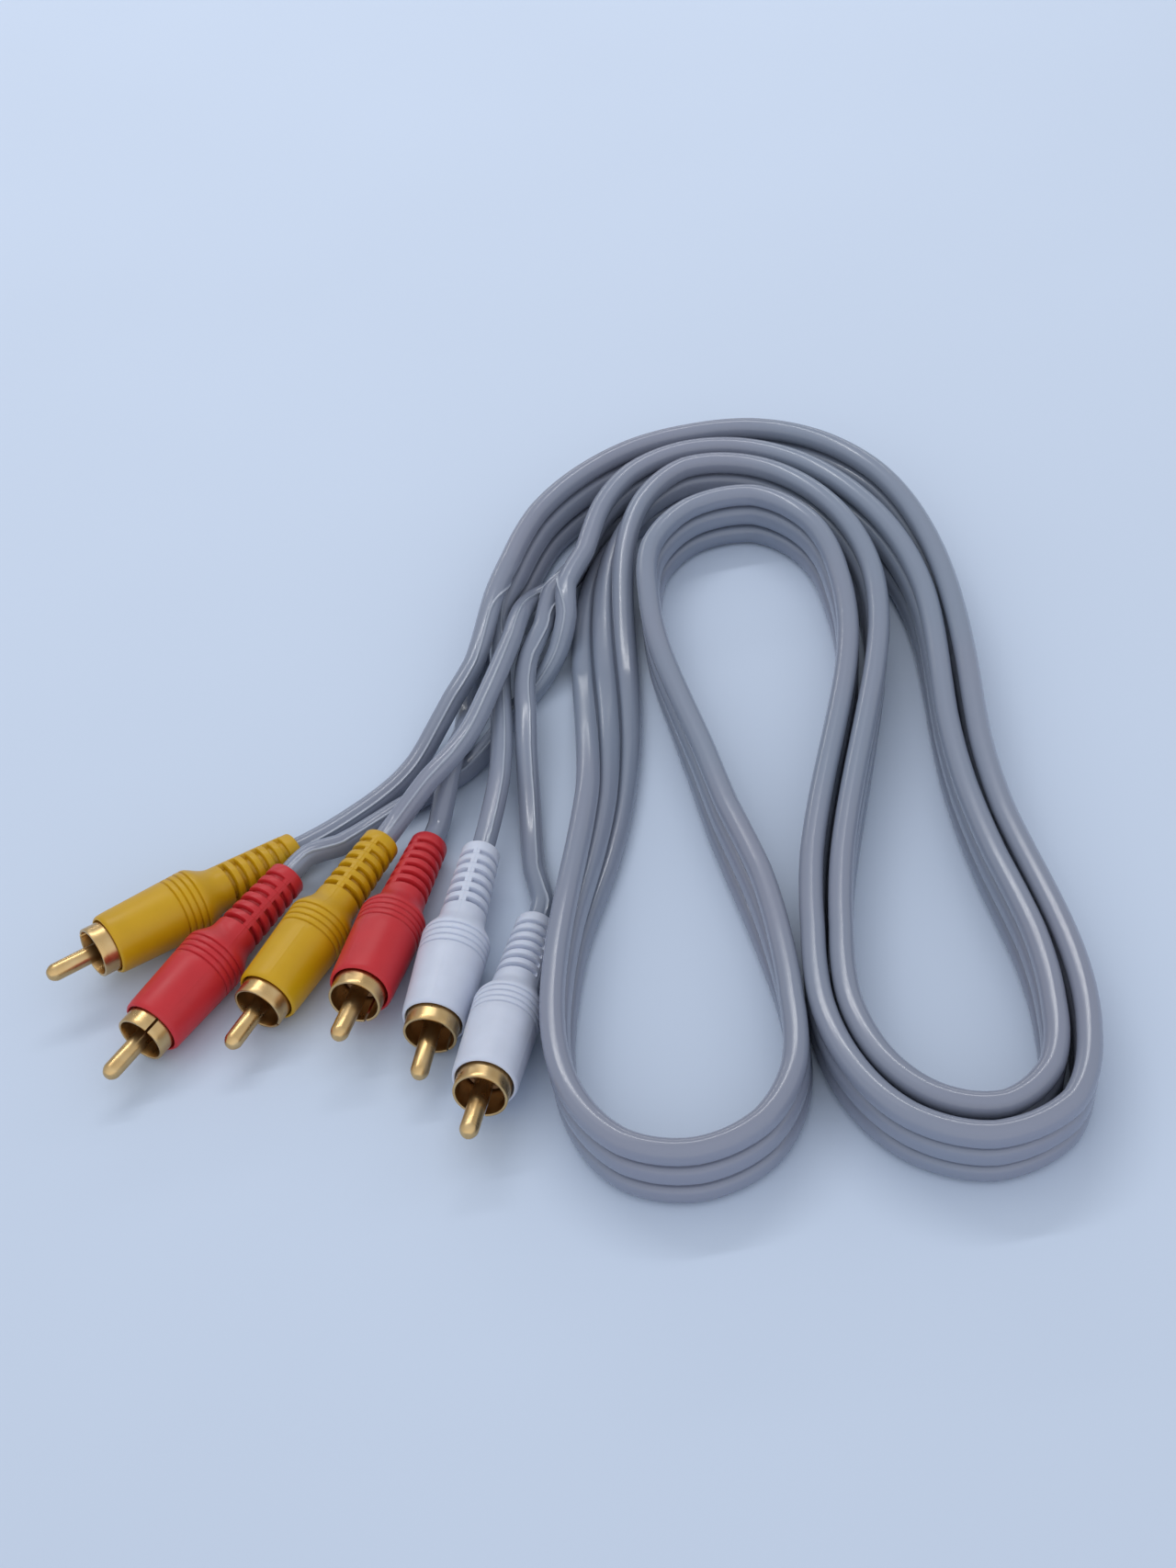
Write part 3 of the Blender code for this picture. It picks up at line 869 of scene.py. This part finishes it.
def front_rings():
    """From the pin's pocket by the shell's socket to the front's rounded edge."""
    socket = SHELL_RADIUS + FIT_GAP
    pocket = PIN_RADIUS + FIT_GAP
    rings = [
        (-PIN_SEATED - FIT_GAP, pocket),
        (-SHELL_SEATED - FIT_GAP, pocket),
        (-SHELL_SEATED - FIT_GAP, socket),
    ]
    rings += [(-behind, socket + wider) for behind, wider in MOUTH_RINGS]
    for turn in quarter_round(0):
        z = -FRONT_EDGE_LENGTH * (1 - math.cos(turn))
        rings.append((z, FRONT_RADIUS - FRONT_EDGE * (1 - math.sin(turn))))
    return rings


def body_rings():
    """The tapered body and the four grooves at its shoulder."""

    def ring(z, drop=0.0):
        radius = FRONT_RADIUS - (SHOULDER_RADIUS - FRONT_RADIUS) * z / SHOULDER_AT - drop
        return z, lambda angle: radius + seam(angle)

    rings = [ring(-behind) for behind in BODY_RINGS]
    first_groove = SHOULDER_AT - GROOVE_WIDTH / 2 - (GROOVE_COUNT - 1) * GROOVE_PITCH
    half = GROOVE_WIDTH / 2
    for i in range(GROOVE_COUNT):
        at = -first_groove - i * GROOVE_PITCH
        for off, depth in GROOVE_SHAPE:
            rings.append(ring(at + off * half, GROOVE_DEPTH * depth))
        rings.append(ring(at, GROOVE_DEPTH))
        for off, depth in reversed(GROOVE_SHAPE):
            rings.append(ring(at - off * half, GROOVE_DEPTH * depth))
    return rings


def cone_rings():
    """From the shoulder down to the strain relief's root."""
    rings = []
    start = 0.5 - 0.5 * math.cos(math.pi * CONE_START)
    for k in range(1, CONE_RINGS + 1):
        share = k / CONE_RINGS
        turned = CONE_START + (1 - CONE_START) * share**CONE_POWER
        drop = (0.5 - 0.5 * math.cos(math.pi * turned) - start) / (1 - start)
        radius = SHOULDER_RADIUS + (RELIEF_ROOT_RADIUS - SHOULDER_RADIUS) * drop
        z = -SHOULDER_AT - CONE_OFFSET - share * (CONE_LENGTH - CONE_OFFSET)
        rings.append((z, lambda angle, radius=radius: radius + seam(angle)))
    return rings


def relief_rings():
    """The slotted strain relief up to its last slot."""

    def ring(z, cut, lower):
        outer = relief_radius(z) - lower

        def radius(angle):
            depth = (outer - SLOT_FLOOR_RADIUS) * slot_share(angle) * cut
            return outer - depth + seam(angle)

        return z, radius

    rings = []
    for i in reversed(range(SLOT_COUNT)):
        top = -HOUSING_LENGTH + END_COLLAR + SLOT_WIDTH + i * SLOT_PITCH
        foot = top - SLOT_WIDTH
        for off, cut, lower in SLOT_EDGE:
            rings.append(ring(top + off, cut, lower))
        for off, cut, lower in reversed(SLOT_EDGE):
            rings.append(ring(foot - off, cut, lower))
    return rings


def back_rings():
    """The strain relief's rounded end and the cord's bore."""
    bore = CORD_RADIUS + FIT_GAP
    back = -HOUSING_LENGTH
    rings = [(back + RELIEF_LAST, RELIEF_END_RADIUS)]
    for turn in quarter_round(1):
        z = back + RELIEF_END_EDGE * (1 - math.sin(turn))
        rings.append((z, RELIEF_END_RADIUS - RELIEF_END_EDGE * (1 - math.cos(turn))))
    rings.append((back, bore + BORE_EDGE))
    rings.append((back + BORE_EDGE, bore))
    rings.append((back + CORD_SEAT_DEPTH + FIT_GAP, bore))
    return rings


def housing_mesh():
    """One closed solid from the pin's pocket, round the outside, to the cord's bore."""
    rings = front_rings() + body_rings() + cone_rings() + relief_rings() + back_rings()
    return taken_mesh(lathe("Housing form", rings, round_angles()), HOUSING_SHARP)


def lathe_loop(name, profile, steps):
    """A ring turned from a closed outline of (radius, z) points."""
    points, faces = [], []
    n = len(profile)
    for k in range(steps):
        turn = 2 * math.pi * k / steps
        for r, z in profile:
            points.append((r * math.cos(turn), r * math.sin(turn), z))
    for k in range(steps):
        for i in range(n):
            a, b = k * n + i, k * n + (i + 1) % n
            c, d = ((k + 1) % steps) * n + i, ((k + 1) % steps) * n + (i + 1) % n
            faces.append((a, b, d, c))
    return mesh_object(name, points, faces)


def shell_mesh():
    """The sleeve, its rim rounded and its wall parted by one slit at +X."""
    outer, inner = SHELL_RADIUS, SHELL_RADIUS - SHELL_WALL
    top, foot = SHELL_PROUD, -SHELL_SEATED
    profile = [
        (inner, foot),
        (outer, foot),
        (outer, top - SHELL_RING_OUTSIDE),
        (outer, top - SHELL_EDGE),
        (outer - SHELL_EDGE_CUT, top - SHELL_EDGE_CUT),
        (outer - SHELL_EDGE, top),
        (inner + SHELL_EDGE, top),
        (inner + SHELL_EDGE_CUT, top - SHELL_EDGE_CUT),
        (inner, top - SHELL_EDGE),
        (inner, top - SHELL_RING_INSIDE),
    ]
    made = lathe_loop("Shell form", profile, SHELL_STEPS)
    cutter = mesh_object(
        "Slit form",
        [
            (x, y, z)
            for x in (SHELL_RADIUS - 2 * SHELL_WALL, SHELL_RADIUS + 2 * SHELL_WALL)
            for y in (-SHELL_SLIT_WIDTH / 2, SHELL_SLIT_WIDTH / 2)
            for z in (top - SHELL_SLIT_LENGTH, top + SLIT_CLEAR)
        ],
        [
            (0, 1, 3, 2),
            (4, 6, 7, 5),
            (0, 4, 5, 1),
            (2, 3, 7, 6),
            (0, 2, 6, 4),
            (1, 5, 7, 3),
        ],
    )
    boolean = made.modifiers.new("Slit", "BOOLEAN")
    boolean.operation = "DIFFERENCE"
    boolean.solver = "EXACT"
    boolean.object = cutter
    graph = bpy.context.evaluated_depsgraph_get()
    mesh = bpy.data.meshes.new_from_object(made.evaluated_get(graph))
    shade(mesh)
    bpy.data.objects.remove(made, do_unlink=True)
    bpy.data.objects.remove(cutter, do_unlink=True)
    return mesh


def taken_mesh(made, degrees=35):
    """The mesh of a form, whose own object goes."""
    mesh = made.data
    shade(mesh, degrees)
    bpy.data.objects.remove(made, do_unlink=True)
    return mesh


def pin_mesh():
    """The centre pin with its blunt tip and a narrow groove ahead of the insulator."""
    tip = SHELL_PROUD + PIN_PROUD
    face = SHELL_PROUD - INSULATOR_RECESS
    rings = [(tip - behind, radius) for behind, radius in PIN_TIP]
    rings += [(face + ahead, PIN_RADIUS - depth) for ahead, depth in PIN_GROOVE]
    rings.append((-PIN_SEATED, PIN_RADIUS))
    angles = [2 * math.pi * k / PIN_STEPS for k in range(PIN_STEPS)]
    return taken_mesh(lathe("Pin form", rings[::-1], angles))


def insulator_mesh():
    """The moulded disc between pin and shell, dished a little towards the pin."""
    outer = SHELL_RADIUS - SHELL_WALL - FIT_GAP
    inner = PIN_RADIUS + FIT_GAP
    face = SHELL_PROUD - INSULATOR_RECESS
    profile = [
        (inner, face - INSULATOR_LENGTH),
        (outer, face - INSULATOR_LENGTH),
        (outer, face - INSULATOR_EDGE),
        (outer - INSULATOR_EDGE, face),
        (outer - DISH_BORDER, face),
        (outer - DISH_BORDER - DISH_SLOPE, face - DISH_DEPTH),
        (inner + COLLAR_WIDTH + DISH_SLOPE, face - DISH_DEPTH),
        (inner + COLLAR_WIDTH, face - COLLAR_DROP),
        (inner, face - COLLAR_DROP),
    ]
    return taken_mesh(lathe_loop("Insulator form", profile, INSULATOR_STEPS))


plug_forms = dict(
    housing=housing_mesh(),
    shell=shell_mesh(),
    insulator=insulator_mesh(),
    pin=pin_mesh(),
)

for plug_name, plug in PLUGS.items():
    colour = plug_name.split("_")[0]
    looks = dict(housing=mouldings[colour], shell=gold, insulator=brown, pin=gold)
    turns = dict(housing=plug["spine"] + 90, shell=plug["slit"], insulator=0, pin=0)
    for part, form in plug_forms.items():
        mesh = form.copy()
        mesh.materials.clear()
        mesh.materials.append(looks[part])
        mesh.transform(plug_matrix(plug, turns[part]))
        piece = bpy.data.objects.new("Fine_" + plug_name + "_" + part, mesh)
        bpy.context.scene.collection.objects.link(piece)
        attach(piece, "root")
        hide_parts(plug_name + "_" + part)


# Table and light
TABLE_SIDE = 4.0  # metres from the middle to its edge
TABLE_DROP = 0.05 * MM  # keeps it clear of the cable's underside
TABLE_SHINE = 0.15
SKY = (0.93, 0.96, 1.0)  # the sky's colour, linear
SKY_FRONT = 1.24  # the sky's strength towards -Y, from where the photo was taken
SKY_BACK = 0.38

# Area lights: where each stands, what it is aimed at, its size and its power in watts
LIGHTS = {
    "Back_strip": ((0.05, 0.62, 0.80), (0.06, 0.03, 0.0), (0.8, 0.05), 2.0),
    "Rim_strip": ((0.05, 1.10, 0.38), (0.06, 0.03, 0.0), (1.0, 0.06), 1.0),
    "Ceiling": ((-0.25, 0.35, 0.75), (0.05, 0.02, 0.0), (0.5, 0.5), 0.4),
}


def add_table():
    corners = [
        (x * TABLE_SIDE, y * TABLE_SIDE, -TABLE_DROP)
        for x, y in ((-1, -1), (1, -1), (1, 1), (-1, 1))
    ]
    made = mesh_object("Table", corners, [(0, 1, 2, 3)])
    look, tree, shader = new_material("Table_top", TABLE, roughness=0.55)
    shader.inputs["Specular IOR Level"].default_value = TABLE_SHINE
    clouds = noise_node(tree, scale=9.0, detail=2.0)
    darker = tuple(c * 0.985 for c in TABLE)
    link_colour(tree, shader, clouds, low=0.35, high=0.65, colours=(darker, TABLE))
    made.data.materials.append(look)


def add_light(name, at, to, size, power):
    data = bpy.data.lights.new(name, "AREA")
    data.shape = "RECTANGLE"
    data.size, data.size_y = size
    data.energy = power
    made = bpy.data.objects.new(name, data)
    bpy.context.scene.collection.objects.link(made)
    made.location = at
    aim = Vector(to) - Vector(at)
    made.rotation_mode = "QUATERNION"
    made.rotation_quaternion = aim.to_track_quat("-Z", "Y")


def add_world():
    """A soft sky, brighter towards the front than the back."""
    world = bpy.data.worlds.new("World")
    world.use_nodes = True
    bpy.context.scene.world = world
    tree = world.node_tree
    shader = tree.nodes["Background"]
    shader.inputs["Color"].default_value = (*SKY, 1.0)
    where = tree.nodes.new("ShaderNodeTexCoord")
    parts = tree.nodes.new("ShaderNodeSeparateXYZ")
    level = tree.nodes.new("ShaderNodeMapRange")
    level.inputs["From Min"].default_value = -1.0
    level.inputs["From Max"].default_value = 1.0
    level.inputs["To Min"].default_value = SKY_FRONT
    level.inputs["To Max"].default_value = SKY_BACK
    tree.links.new(where.outputs["Generated"], parts.inputs["Vector"])
    tree.links.new(parts.outputs["Y"], level.inputs["Value"])
    tree.links.new(level.outputs["Result"], shader.inputs["Strength"])


add_table()
add_world()
for light_name, light in LIGHTS.items():
    add_light(light_name, *light)
bpy.context.scene.view_settings.view_transform = "Standard"
